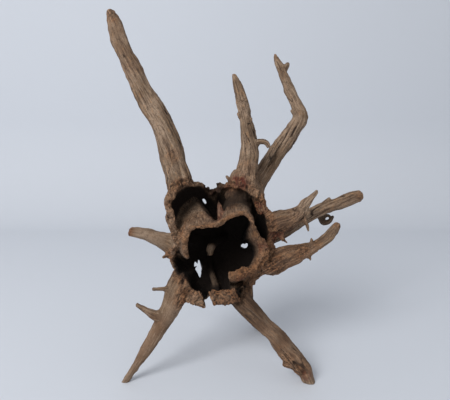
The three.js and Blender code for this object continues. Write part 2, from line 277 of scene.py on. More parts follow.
# The roots. Stations are [x, y, z, radius], from where a root leaves the crown's back outwards.
roots = {
    "longUpperLeft": {"section": {}, "stations": [
        [-38, 38, 212, 11], [-55, 30, 236, 15], [-70, 12, 258, 20], [-84, -14, 276, 27],
        [-94, -44, 306, 24], [-104, -48, 342, 20.5], [-111, -46, 369, 20.6], [-125, -42, 406, 20],
        [-145, -38, 442, 18.6], [-162, -34, 476, 16.2], [-178, -29, 508, 15.4], [-191, -24, 539, 14.8],
        [-201, -20, 568, 12.6], [-207, -17, 584, 7.5],
    ]},
    "upperMiddle": {"section": {"lumps": 0.16}, "stations": [
        [-20, 37, 222, 10], [-10, 30, 246, 15], [2, 12, 268, 20], [14, -18, 282, 31],
        [12, -26, 313, 25], [15, -26, 336, 19.4], [17, -24, 366, 16], [13, -20, 395, 13.4],
        [8, -16, 428, 12.6], [1, -12, 456, 10.4], [-5, -8, 476, 8.6], [-9, -7, 488, 4.6],
    ]},
    "upperRight": {"section": {}, "stations": [
        [-2, 37, 210, 9], [10, 31, 232, 14], [19, 18, 256, 18], [25, 4, 281, 20], [32, 6, 307, 18],
        [54, 16, 338, 17], [76, 26, 369, 16.4], [97, 36, 399, 15.8], [111, 46, 424, 15],
        [105, 56, 447, 12], [95, 68, 474, 10.4], [86, 82, 501, 9.6], [78, 96, 525, 9],
        [71, 108, 546, 3.6],
    ]},
    "rightSlab": {"section": {"lumps": 0.2, "depth": 0.6}, "stations": [
        [42, -48, 224, 17], [57, -56, 248, 23], [78, -54, 255, 20.5], [94, -52, 264, 14.5],
        [108, -50, 281, 9.4], [125, -48, 301, 4.4],
    ]},
    "rightLong": {"section": {}, "stations": [
        [-2, 38, 188, 10], [20, 27, 198, 14], [40, 6, 208, 17], [60, -8, 219, 15.6],
        [80, -12, 230, 14.5], [114, -10, 251, 13.5], [142, -12, 264, 12.6], [172, -14, 276, 12.8],
        [191, -17, 285, 12.8], [204, -19, 289, 11],
    ]},
    "lowerRight": {"section": {"lumps": 0.2}, "stations": [
        [-8, 35, 170, 10], [14, 18, 163, 14], [30, -14, 168, 17], [40, -46, 176, 20],
        [52, -65, 183, 20], [72, -64, 191, 16], [99, -58, 200, 12.6], [121, -52, 209, 11.2],
        [142, -46, 221, 10.2], [156, -41, 235, 9.2], [163, -38, 243, 7],
    ]},
    "leftShort": {"section": {"worn": False}, "stations": [
        [-46, 37, 192, 11], [-68, 24, 196, 16], [-84, 0, 201, 20], [-98, -27, 201, 25],
        [-113, -36, 210, 20.6], [-136, -38, 220, 14.4], [-157, -39, 227, 10.8], [-183, -40, 232, 9.4],
    ]},
    "leftLeg": {"section": {"worn": False, "lumps": 0.06}, "stations": [
        [-42, 35, 170, 10], [-60, 22, 153, 15], [-76, -6, 150, 20], [-88, -48, 157, 25],
        [-99, -66, 142, 24], [-113, -76, 113, 17.4], [-128, -84, 84, 13.8], [-145, -89, 56, 11.4],
        [-163, -94, 30, 7.8], [-186, -98, -4, 5.4],
    ]},
    "rightLeg": {"section": {"worn": False, "lumps": 0.16}, "stations": [
        [-10, 16, 146, 12], [-6, -12, 130, 16], [-4, -46, 125, 17], [9, -61, 115, 17.6],
        [23, -68, 102, 16], [40, -76, 85, 14.2], [54, -81, 73, 14.2], [68, -86, 57, 15.8],
        [85, -91, 38, 17.2], [101, -95, 21, 15.6], [113, -98, -4, 9.5],
    ]},
    "hindLeg": {"section": {"worn": False}, "stations": [
        [-26, 37, 168, 13], [-22, 30, 146, 19], [-13, 36, 120, 19], [3, 49, 90, 16.5],
        [25, 70, 45, 13.5], [44, 84, 20, 12.5], [61, 97, -4, 11.5],
    ]},
}

# Twigs, stubs, splinters and chips, by the same kind of stations.
twigs = {
    "upperLegStub": [
        [-98, -68, 143, 6], [-108, -74, 146, 4.6], [-123, -78, 147, 4.6], [-139, -80, 147, 3.8]],
    "lowerLegStub": [
        [-116, -78, 101, 12], [-130, -84, 104, 10.6], [-141, -86, 110, 7.6], [-164, -84, 123, 4]],
    "hookedTwig": [
        [14, -23, 362, 8], [24, -24, 375, 5.8], [34, -28, 380, 5.2], [43, -31, 378, 4.8],
        [48, -32, 371, 4.2]],
    "longRootSpike": [[138, -12, 262, 7], [147, -14, 277, 4.5], [156, -14, 287, 1.6]],
    "longRootCurl": [
        [132, -8, 260, 6], [141, -3, 247, 4.2], [148, 0, 238, 4.6], [158, 1, 241, 4.6],
        [166, 1, 250, 3.6]],
    "tipStub": [[84, 88, 510, 8], [91, 90, 519, 6.4], [94, 90, 525, 4.6]],
    "elbowStub": [[108, 42, 416, 8], [101, 40, 427, 5], [94, 38, 435, 3.4]],
    "splitStrand": [
        [30, 0, 318, 10], [41, 3, 334, 10], [53, 9, 353, 9], [68, 19, 375, 8.6], [98, 35, 411, 5]],
    "slabTwig": [[98, -52, 266, 7], [105, -55, 252, 5], [109, -56, 243, 4], [111, -56, 236, 3]],
    "rimNub": [[-108, -44, 198, 7], [-118, -49, 194, 5], [-127, -51, 191, 3]],
    "brokenShoulder": [[27, -16, 306, 13], [31, -28, 290, 12], [35, -37, 275, 10.5], [38, -41, 264, 8]],
    "lowerRightStrand": [
        [42, -66, 192, 10.5], [60, -64, 204, 9], [78, -61, 209, 6], [128, -51, 215, 3.2]],
    "heelKnob": [[94, -95, 22, 9], [80, -97, 28, 8], [70, -98, 31, 7]],
    "hollowStub": [
        [-20, 34, 210, 9], [-29, 12, 207, 7], [-41, -6, 204, 7], [-48, -15, 199, 8],
        [-50, -18, 187, 7]],
    "floorRidge": [[-52, 24, 170, 6], [-50, 6, 155, 6], [-43, -12, 139, 6], [-37, -34, 128, 6]],
    "splinter": [[-30, -58, 258, 8], [-32, -50, 268, 6], [-35, -44, 286, 1.6]],
    "rimTooth": [[-50, -15, 290, 4.6], [-51, -18, 298, 3.6], [-52, -20, 304, 2.4]],
    "rimChip": [[-34, -16, 294, 6], [-35, -18, 302, 4.4], [-37, -20, 308, 2.6]],
    "baseChip": [[-12, -26, 312, 6], [-18, -28, 318, 4], [-22, -28, 324, 2.4]],
    "rootPeg": [[118, -54, 212, 6], [116, -56, 220, 4], [116, -57, 224, 3.2]],
    "rootBit": [[112, -56, 198, 6], [114, -58, 192, 3.6], [115, -58, 188, 2.8]],
    "slabBit": [[66, -64, 232, 7], [70, -66, 224, 4], [76, -67, 219, 2.4]],
    "lowerBridge": [[32, -50, 169, 12], [20, -50, 155, 11], [15, -46, 138, 9.4], [15, -52, 120, 9]],
    "edgeChip": [[15, -24, 411, 5], [21, -26, 419, 2]],
    "edgeBurr": [[5, -20, 444, 5], [12, -21, 448, 1.8]],
    "edgeSpur": [[0, -22, 421, 5], [-5, -23, 426, 1.8]],
    "curlBit": [[146, 0, 246, 5], [154, 0, 252, 4], [160, 0, 250, 3]],
}

# Middle and half sizes of lumps on the wood, and of the holes that rot and worms made. A hole's depth
# lies toward its direction, it is rolled by degrees, and its outline is uneven by a share.
knots = {
    "hollowKnob": {"at": [-1, -13, 289], "half": [23, 18, 15]},
    "longRootNub": {"at": [-176, -34, 482], "half": [6, 5, 5]},
    "upperMiddleFlare": {"at": [-6, -21, 315], "half": [10, 10, 19]},
}
pockets = {
    "backSlit": {
        "at": [-73, 30, 146], "half": [6.5, 50, 15],
        "toward": [-0.06, 1, -0.31], "roll": 12, "uneven": 0.4},
    "backHole": {
        "at": [15, 42, 188], "half": [12, 34, 4.5],
        "toward": [0.06, 1, -0.26], "roll": 28, "uneven": 0.3},
    "topSlit": {
        "at": [-61, 14, 276], "half": [3, 26, 7],
        "toward": [-0.05, 1, -0.15], "roll": 30, "uneven": 0.4},
    "rimBite": {"at": [-44, -12, 307], "half": [6, 26, 7], "roll": 20, "uneven": 0.5},
    "rimGap": {"at": [-55, -14, 306], "half": [3, 26, 5], "roll": -14, "uneven": 0.4},
    "rimNick": {"at": [-24, -14, 312], "half": [3.4, 26, 6], "roll": -20, "uneven": 0.4},
    "lobeNotch": {
        "at": [-53, -80, 133], "half": [6, 64, 23],
        "toward": [0, 1, -0.38], "roll": 20, "uneven": 0.2},
    "legHollow": {
        "at": [3, -68, 138], "half": [11, 24, 9],
        "toward": [0.06, 1, -0.2], "roll": -35, "uneven": 0.5},
    "rootKnothole": {"at": [48, -86, 175], "half": [5, 9, 4.5]},
    "footSplit": {"at": [93, -108, 27], "half": [2.6, 9, 20], "roll": 45, "uneven": 0.3},
    "strandSplit": {"at": [61, 4, 352], "half": [2.2, 10, 28], "roll": -35, "uneven": 0.3},
    "slabSplit": {"at": [80, -68, 248], "half": [18, 9, 1.8], "roll": 22, "uneven": 0.3},
}


# A centripetal Catmull-Rom curve through the stations, walked at even steps. It gives the place, the
# direction, the radius and the station number at each step.
def walk(stations, spacing, samples=24):
    stations = np.array(stations, float)
    p = stations[:, :3]
    p = np.concatenate([2 * p[:1] - p[1:2], p, 2 * p[-1:] - p[-2:-1]])
    gap = np.sqrt(np.linalg.norm(np.diff(p, axis=0), axis=1))[:, None]
    p0, p1, p2, p3 = p[:-3], p[1:-2], p[2:-1], p[3:]
    g0, g1, g2 = gap[:-2], gap[1:-1], gap[2:]
    leave = ((p1 - p0) / g0 - (p2 - p0) / (g0 + g1) + (p2 - p1) / g1) * g1
    reach = ((p2 - p1) / g1 - (p3 - p1) / (g1 + g2) + (p3 - p2) / g2) * g1
    at = np.linspace(0, len(stations) - 1, samples * (len(stations) - 1) + 1)
    k = np.minimum(at.astype(int), len(stations) - 2)
    w = (at - k)[:, None]
    bend = 3 * (p2 - p1) - 2 * leave - reach
    twist = 2 * (p1 - p2) + leave + reach
    places = p1[k] + leave[k] * w + bend[k] * w**2 + twist[k] * w**3
    gone = np.concatenate([[0], np.cumsum(np.linalg.norm(np.diff(places, axis=0), axis=1))])
    even = np.linspace(0, gone[-1], max(4, round(gone[-1] / spacing)) + 1)
    place = np.stack([np.interp(even, gone, places[:, c]) for c in range(3)], 1)
    along = np.gradient(place, axis=0)
    along /= np.linalg.norm(along, axis=1, keepdims=True)
    at = np.interp(even, gone, at)
    return place, along, np.interp(at, np.arange(len(stations)), stations[:, 3]), at


# Two directions across a curve: Y crossed with its direction, and its direction crossed with that.
def acrossOf(along):
    wide = np.cross([0, 1, 0], along)
    wide /= np.linalg.norm(wide, axis=1, keepdims=True)
    return wide, np.cross(along, wide)


# How finely roots and twigs are made. A twig starts with a smaller radius than thin. The worn rows are
# the end rings' [share of its radius, radii further on].
rootMesh = {
    "thin": 11, "twig": {"spacing": 2.5, "sides": 14}, "root": {"spacing": 4, "sides": 32},
    "lumpSize": 22, "twigLumps": 0.14, "worn": [[0.94, 0.2], [0.72, 0.42], [0.4, 0.5]],
}


# A root: an uneven, fluted oval carried along its curve. Its radius is the station's, less up to the
# flutes' share where two sine waves round it are low, and more or less by the lumps' noise. A worn
# end closes in three more rings.
def rootShell(stations, depth=0.85, lumps=0.1, flutes=0.08, worn=True):
    finely = rootMesh["twig" if stations[0][3] < rootMesh["thin"] else "root"]
    place, along, radius, at = walk(stations, finely["spacing"])
    wide, deep = acrossOf(along)
    turn = np.arange(finely["sides"]) * 2 * pi / finely["sides"]
    at = at[:, None]
    fluted = 1 - flutes * (1 - (np.sin(5 * turn + at) + np.sin(3 * turn + 2 * at)) / 2)
    far = np.linalg.norm(place, axis=1)[:, None] / rootMesh["lumpSize"]
    out = radius[:, None] * fluted * (1 + lumps * noise(2 * np.cos(turn) + 9, 2 * np.sin(turn), far))
    spokes = out[..., None] * (
        wide[:, None] * np.cos(turn)[:, None] + deep[:, None] * depth * np.sin(turn)[:, None])
    rings = place[:, None] + spokes
    if worn:
        ends = rootMesh["worn"]
        more = [place[-1] + spokes[-1] * share + along[-1] * radius[-1] * on for share, on in ends]
        rings = np.concatenate([rings, np.array(more)])
    return closedShell(rings)


# A ball stretched to its half sizes, rolled in degrees, with its Y turned towards a direction. Uneven,
# its radius goes up and down with noise.
def ball(at, half, toward=(0, 1, 0), roll=0, uneven=0, sides=40, rows=24):
    polar = np.linspace(0, pi, rows + 2)[1:-1, None]
    turn = np.arange(sides) * 2 * pi / sides
    unit = (np.sin(polar) * np.cos(turn), np.cos(polar) + 0 * turn, np.sin(polar) * np.sin(turn))
    bumps = 1 + uneven * noise(*(2.3 * part + at[0] for part in unit))
    local = np.stack(unit, -1) * half * bumps[..., None]
    y = np.array(toward) / np.linalg.norm(toward)
    x = np.cross(y, [0, 0, 1])
    x /= np.linalg.norm(x)
    z = np.cross(x, y)
    c, d = cos(radians(roll)), sin(radians(roll))
    return closedShell(at + local @ np.array([c * x + d * z, y, c * z - d * x]))


# A box from its lowest to its highest corner.
def blockShell(low, high):
    (x, y, z), (far, back, top) = low, high
    outline = [[x, y], [far, y], [far, back], [x, back]]
    rings = [[[*corner, level] for corner in outline] for level in (z, top)]
    return closedShell(np.array(rings, float))


# The mesh without the crumbs that the holes cut loose: each triangle hands its corners the lowest
# number that one of them carries, till nothing changes, and what carries the commonest is kept.
def withoutCrumbs(points, faces):
    number = np.arange(len(points))
    changed = True
    while changed:
        lowest = number[faces].min(1)
        handed = number.copy()
        for corner in faces.T:
            np.minimum.at(handed, corner, lowest)
        handed = handed[handed]
        changed = (handed != number).any()
        number = handed
    kept = number == np.bincount(number).argmax()
    return points[kept], (np.cumsum(kept) - 1)[faces[kept[faces[:, 0]]]]


# Growing it together. Voxels in mm: the fine one sets how small a crack can be. Smoothing takes a
# share of the way to the neighbours and back, and filling moves valleys out by a share of their
# depth.
grow = {
    "coarse": 1.8, "fine": 1.5, "smoothings": 8, "there": 0.5, "andBack": 0.52,
    "fillets": 26, "fill": 0.7, "leave": 0.01, "normalsEvery": 6, "triangles": 196000,
    "table": [[-300, -300, -60], [300, 300, 0]],  # it wears the feet flat
}

rootShells = [rootShell(entry["stations"], **entry["section"]) for entry in roots.values()]
shell = meshObject("shell", together([crownShell(False, crown["back"], False)] + rootShells))
hollow = meshObject("hollow", crownShell(True, crown["back"] - crown["backWall"], True))
boolean(remesh(shell, grow["coarse"]), "DIFFERENCE", hollow)
innerWall = meshObject("inner wall", ringShell())
boolean(innerWall, "INTERSECT", meshObject("mouth", crownShell(False, crown["back"], True)))
twigShells = [rootShell(stations, lumps=rootMesh["twigLumps"]) for stations in twigs.values()]
knotShells = [ball(**knot) for knot in knots.values()]
grown = meshObject("grown", together([result(shell), result(innerWall)] + twigShells + knotShells))
table = blockShell(*grow["table"])
holes = meshObject("holes", together([ball(**pocket) for pocket in pockets.values()] + [table]))
remesh(boolean(remesh(grown, grow["coarse"]), "DIFFERENCE", holes), grow["fine"])
points, faces = withoutCrumbs(*result(grown))
discard(shell, hollow, innerWall, bpy.data.objects["mouth"], grown, holes)
print("grown together:", len(points), "points", len(faces), "triangles")


# Each point's normal: the mean of its triangles' normals, weighted by area.
def normalsOf(points, faces):
    p = points[faces]
    face = np.cross(p[:, 1] - p[:, 0], p[:, 2] - p[:, 0])
    at = faces.ravel()
    total = np.stack([np.bincount(at, np.repeat(face[:, c], 3), len(points)) for c in range(3)], 1)
    return total / np.maximum(np.linalg.norm(total, axis=1, keepdims=True), 1e-9)


# The mean place of the points that each point has an edge to.
def around(points, faces):
    start = faces.ravel()
    end = np.roll(faces, -1, 1).ravel()
    share = 1 / np.bincount(start, minlength=len(points))
    return np.stack([np.bincount(start, points[end, c], len(points)) * share for c in range(3)], 1)


# Smoothing that doesn't shrink: a step towards the neighbours, then a slightly larger one back. Then
# valleys are filled: a point moves out along its normal where its neighbours stand proud of it, but
# not in the mouths of the holes.
def rounded(points, faces):
    for n in range(grow["smoothings"]):
        points = points + grow["there"] * (around(points, faces) - points)
        points = points - grow["andBack"] * (around(points, faces) - points)
    solid = np.ones(len(points))
    for pocket in pockets.values():
        apart, reach = np.linalg.norm(points - pocket["at"], axis=1), max(pocket["half"])
        solid = np.minimum(solid, step(apart, reach * 0.9, reach * 1.6))
    for n in range(grow["fillets"]):
        if n % grow["normalsEvery"] == 0:
            out = normalsOf(points, faces)
        proud = ((around(points, faces) - points) * out).sum(1)
        points = points + out * (grow["fill"] * solid * np.maximum(proud - grow["leave"], 0))[:, None]
    return points


points = rounded(points, faces)
print("rounded")

# Grain, cracks and rot: the spacing across and along the fibres, and the heights of what weather did,
# in mm.
grain = {
    "fibre": 4.4, "fibreLong": 52, "twist": 210, "ridge": 0.6, "fine": 0.4, "fineLong": 17,
    "crack": 1.2, "crackWidth": 0.045, "crackLong": 80, "lump": 1.1, "lumpSize": 26,
    "wormCell": 4.4, "wormDepth": 2.0, "torn": 3.6, "tornSize": 4.2, "tornLong": 19,
    "rough": 1.5, "roughSize": 3.1, "ragged": 2.4, "raggedSize": 5.2,
    "furrow": 2.3, "furrowLong": 58, "furrowWide": 6.5, "furrowCrack": 0.09,
    "rootReach": 1.4,  # radii from a root's middle to where its fibres end
    "rootShift": 311,  # mm that each root's fibres are shifted, so that no two roots are alike
    "settled": (0.5, 7),  # heights over the table between which the weather's work sets in
}

# Where rot and worms got in: [x, y, z, radius, how much]; and where the wood is redder.
rotten = [
    [-79, -85, 132, 26, 1], [-60, -86, 124, 18, 1], [-28, -86, 136, 30, 1], [-2, -82, 138, 22, 0.9],
    [7, -86, 171, 20, 0.9], [28, -84, 184, 18, 0.8], [-83, -88, 206, 10, 0.7],
    [57, -56, 234, 22, 0.55], [89, -52, 250, 18, 0.25], [50, -66, 188, 25, 0.8],
    [72, -64, 194, 18, 0.5], [0, -42, 312, 22, 0.6], [6, -44, 332, 20, 0.4], [34, -36, 276, 22, 1],
    [27, -34, 312, 22, 0.3], [-100, -50, 300, 20, 0.45], [-108, -72, 270, 22, 0.9],
    [-98, -78, 238, 18, 0.8], [-112, -48, 192, 16, 0.8], [-105, -58, 358, 12, 0.5],
    [80, -92, 34, 20, 0.5], [-203, -20, 574, 14, 0.7], [110, 48, 426, 12, 0.4],
    [72, 106, 542, 12, 0.6], [206, -19, 289, 12, 0.6], [162, -38, 243, 10, 0.6],
    [-20, -50, 292, 22, 0.8], [-184, -41, 232, 10, 0.7], [100, -58, 200, 18, 0.75],
    [124, -52, 209, 14, 0.5], [94, -96, 24, 18, 0.5],
]
reddish = [
    [-18, -42, 306, 12, 0.9], [40, -46, 262, 8, 0.8], [-186, -41, 233, 8, 0.9],
    [-6, -44, 310, 20, 1], [-33, -52, 272, 12, 0.8], [60, -54, 228, 16, 0.9],
    [82, -52, 236, 12, 0.7], [-38, -60, 262, 12, 0.7], [32, -88, 222, 12, 0.6],
    [6, -84, 160, 16, 0.5], [-86, -60, 160, 14, 0.6], [36, -36, 272, 16, 0.5],
    [106, -98, 14, 12, 0.5], [26, -70, 142, 14, 0.8], [-50, -14, 302, 20, 0.7],
    [-24, -30, 300, 12, 0.7],
]
# Where the wood is a darker, warmer brown: all round the hollow, and what grows out of its right.
brown = [
    [-12, -50, 210, 86, 0.95], [-66, -60, 250, 30, 0.9], [14, -70, 108, 44, 1],
    [52, -82, 74, 40, 0.9], [88, -92, 36, 40, 0.6], [-140, -88, 60, 60, 0.75],
    [-185, -28, 520, 60, 0.45], [180, -16, 278, 50, 0.4], [62, -54, 240, 34, 0.9],
    [88, -50, 256, 24, 0.8], [70, -60, 196, 34, 0.9], [110, -52, 208, 24, 0.6],
    [40, 0, 320, 20, 0.4], [-100, -84, 120, 22, 0.5], [0, -20, 290, 30, 1], [-184, -41, 232, 14, 1],
]
# Where the fibres stand apart in deep grooves.
grooved = [
    [-62, -50, 262, 30, 0.4], [0, -60, 262, 26, 0.35], [-14, -86, 262, 30, 0.3],
    [60, -56, 242, 34, 1], [92, -52, 258, 22, 0.8], [56, -62, 190, 30, 0.8],
    [100, -56, 203, 26, 0.7], [60, 16, 350, 34, 0.8], [88, -92, 34, 30, 0.9],
    [60, -84, 66, 26, 0.6], [26, -20, 300, 28, 0.7], [-96, -48, 300, 30, 0.5],
    [14, -26, 336, 26, 0.4], [140, -48, 222, 22, 0.5],
]
# Where the wood is rubbed so smooth that the fibres hardly show.
rubbed = [
    [-112, -76, 112, 30, 1], [-140, -88, 66, 34, 1], [-176, -96, 14, 28, 0.8],
    [-92, -60, 142, 22, 0.6], [52, -82, 74, 34, 0.4], [-150, -39, 224, 40, 0.9],
    [-112, -36, 212, 20, 0.7], [108, 48, 430, 28, 0.5], [-192, -24, 540, 40, 0.3],
]
# Painted shade where the wood lies in shadow though it is outside the hollow, and painted light
# where it stands lit inside the hollow: there the painted shade is taken off, the brown goes and the
# rot fades to half.
paintedShadeZones = [
    [22, -88, 236, 18, 0.35], [45, -42, 256, 11, 0.85], [-97, -50, 194, 11, 0.9],
    [-20, -24, 292, 12, 0.6], [38, -30, 244, 17, 0.95], [-86, -42, 184, 17, 0.9],
    [14, -72, 108, 42, 0.48], [-36, -44, 285, 9, 0.5], [-86, -86, 222, 13, 0.3],
    [0, -90, 266, 12, 0.15], [50, -82, 76, 30, 0.14], [-145, -38, 222, 40, 0.12],
    [-45, -14, 300, 24, 0.75], [4, -22, 284, 24, 0.85], [2, -66, 120, 20, 0.35],
    [153, 0, 244, 17, 0.6], [8, -62, 142, 12, 0.7], [60, 2, 350, 9, 0.4],
]
paintedLightZones = [
    [-114, -72, 266, 15, 1], [-108, -78, 244, 14, 1], [-50, -22, 192, 14, 1],
    [-14, -34, 296, 9, 0.35], [-33, -54, 268, 16, 0.9], [-42, -18, 144, 16, 0.4],
]


# The strongest of several soft balls: full inside 0.6 of the radius and nothing outside 1.25.
def zone(points, balls):
    total = np.zeros(len(points))
    for x, y, z, radius, amount in balls:
        apart = np.linalg.norm(points - [x, y, z], axis=1) / radius
        total = np.maximum(total, amount * step(1.25 - apart, 0, 0.65))
    return total


# The distance from each point to the nearest of the seeds that lie one in each cell of a lattice, up to
# 0.4 of a cell from its middle.
def seedDistance(x, y, z):
    low = [np.floor(c) for c in (x, y, z)]
    best = np.full(len(x), 9.0)
    for a, b, c in np.ndindex(3, 3, 3):
        i, j, k = low[0] + a - 1, low[1] + b - 1, low[2] + c - 1
        away = (i + 0.5 + 0.4 * latticeValue(i, j, k) - x) ** 2
        away += (j + 0.5 + 0.4 * latticeValue(i + 57, j, k) - y) ** 2
        away += (k + 0.5 + 0.4 * latticeValue(i, j + 91, k) - z) ** 2
        best = np.minimum(best, away)
    return np.sqrt(best)


# Each point's place in mm along the root that it is nearest to, and across it two ways. Which root is
# nearest counts in that root's radii. The fibres wind slowly round the root: the ways across are turned
# by the place along over the twist. On the crown the fibres run from the rim to the back.
def fibreFrame(points):
    nearest = np.full(len(points), grain["rootReach"])
    local = points[:, [1, 0, 2]] - [0, crown["axisX"], crown["axisHeight"]]
    paths = [entry["stations"] for entry in roots.values()] + list(twigs.values())
    for number, stations in enumerate(paths):
        place, along, radius, at = walk(stations, rootMesh["root"]["spacing"])
        wide, deep = acrossOf(along)
        gone = np.concatenate([[0], np.cumsum(np.linalg.norm(np.diff(place, axis=0), axis=1))])
        reach = radius.max() * (grain["rootReach"] + 0.1)
        beside = (points > place.min(0) - reach) & (points < place.max(0) + reach)
        close = np.nonzero(beside.all(1))[0]
        near = points[close]
        apart = (near**2).sum(1)[:, None] - 2 * near @ place.T + (place**2).sum(1)
        apart = np.sqrt(np.maximum(apart, 0)) / radius
        k = apart.argmin(1)
        share = apart[np.arange(len(k)), k]
        better = share < nearest[close]
        close, k, share = close[better], k[better], share[better]
        away = points[close] - place[k]
        s = gone[k] + (away * along[k]).sum(1)
        u, w = (away * wide[k]).sum(1), (away * deep[k]).sum(1)
        c, d = np.cos(s / grain["twist"]), np.sin(s / grain["twist"])
        nearest[close] = share
        local[close] = np.stack([s + grain["rootShift"] * number, u * c - w * d, u * d + w * c], 1)
    return local


# Broken edges: how far behind the front they reach, how far the painted highlight on the inner
# wall's lit lip does, and how wide the soft steps beside them are. Then where painted shade darkens
# the wood, from and to in Y: in the hollow behind the inner wall's edge and how much later on its
# right, on that wall's outside and on top of it, which stay a little lighter, and behind the crown's
# rim. The inner wall is open below, round an angle.
edges = {"reach": 7, "lipReach": 3.5, "soft": (0, 6), "lipSoft": (0, 5), "onRing": 0.45}
shading = {
    "hollow": (3, 26), "later": (7, 40), "wall": (-56, 16), "top": (-82, -42), "crown": (3, 26),
    "wallMost": 0.92, "topMost": 0.86, "openAt": -120, "open": (34, 42), "rightAt": 5, "topAt": 72,
}


# Three values from 0 to 1 for each point: how near it is to a broken front edge of the crown's rim or
# the inner wall, e to the power of minus its distance behind it over the reach; how much painted
# highlight the inner wall's lit lip gets, which fades alike; and how dark it is inside, by soft steps
# in Y: painted shade, partly also the darker rotted wood of the hollow.
def edgeAndShade(points):
    y = points[:, 1]
    x, z = points[:, 0] - crown["axisX"], points[:, 2] - crown["axisHeight"] + crown["axisFall"] * y
    degrees, radius = np.degrees(np.arctan2(z, x)), np.hypot(x, z)
    outer, rimY, rimThick = roundProfile(crown["rim"], degrees)
    inner, frontY, thick, flare = roundProfile(ring["rim"], degrees)
    spread = flare * np.clip((y - frontY) / (ring["back"] - frontY), 0, 1) ** ring["flareBend"]
    behindRim, behindFront = np.maximum(y - rimY, 0), np.maximum(y - frontY, 0)
    onCrown = np.exp(-behindRim / edges["reach"]) * step(radius - outer + rimThick + 8, *edges["soft"])
    onRing = np.exp(-behindFront / edges["reach"]) * step(inner + thick + 9 - radius, *edges["soft"])
    edge = np.maximum(onCrown * step(outer + 8 - radius, *edges["soft"]), edges["onRing"] * onRing)
    shell = outer * closing(np.clip((y - rimY) / (crown["back"] - rimY), 0, 1))
    openBelow = 1 - step(np.abs(degrees - shading["openAt"]), *shading["open"])
    hollow = np.maximum(step(inner + thick / 2 + spread - radius, -1, 1), openBelow)
    late = step(np.cos(np.radians(degrees - shading["rightAt"])), 0.45, 0.9)
    (start, end), (startLater, endLater) = shading["hollow"], shading["later"]
    hollowShade = step(y - frontY, start + startLater * late, end + endLater * late)
    onWall = step(inner + thick + 8 + spread - radius, 0, 3)
    top = step(np.cos(np.radians(degrees - shading["topAt"])), 0.82, 0.94)
    wallShade = (1 - top) * shading["wallMost"] * step(y, *shading["wall"])
    wallShade = wallShade + top * shading["topMost"] * step(y, *shading["top"])
    crownShade = step(y - rimY, *shading["crown"])
    shade = hollow * hollowShade + (1 - hollow) * (onWall * wallShade + (1 - onWall) * crownShade)
    # Painted light: where the hollow stands lit, the painted shade is taken off.
    shade = shade * step(shell - radius, 2, 5) * (1 - zone(points, paintedLightZones))
    # A painted highlight on the inner wall's front lip, where its broken edge catches the light.
    lip = np.exp(-behindFront / edges["lipReach"]) * step(inner + thick + 5 - radius, *edges["lipSoft"])
    lip = lip * (1 - openBelow) * step(radius - inner + 8, *edges["lipSoft"])
    # Painted shade: the zones that lie in shadow are darkened as well.
    return edge, lip, np.maximum(shade, zone(points, paintedShadeZones))


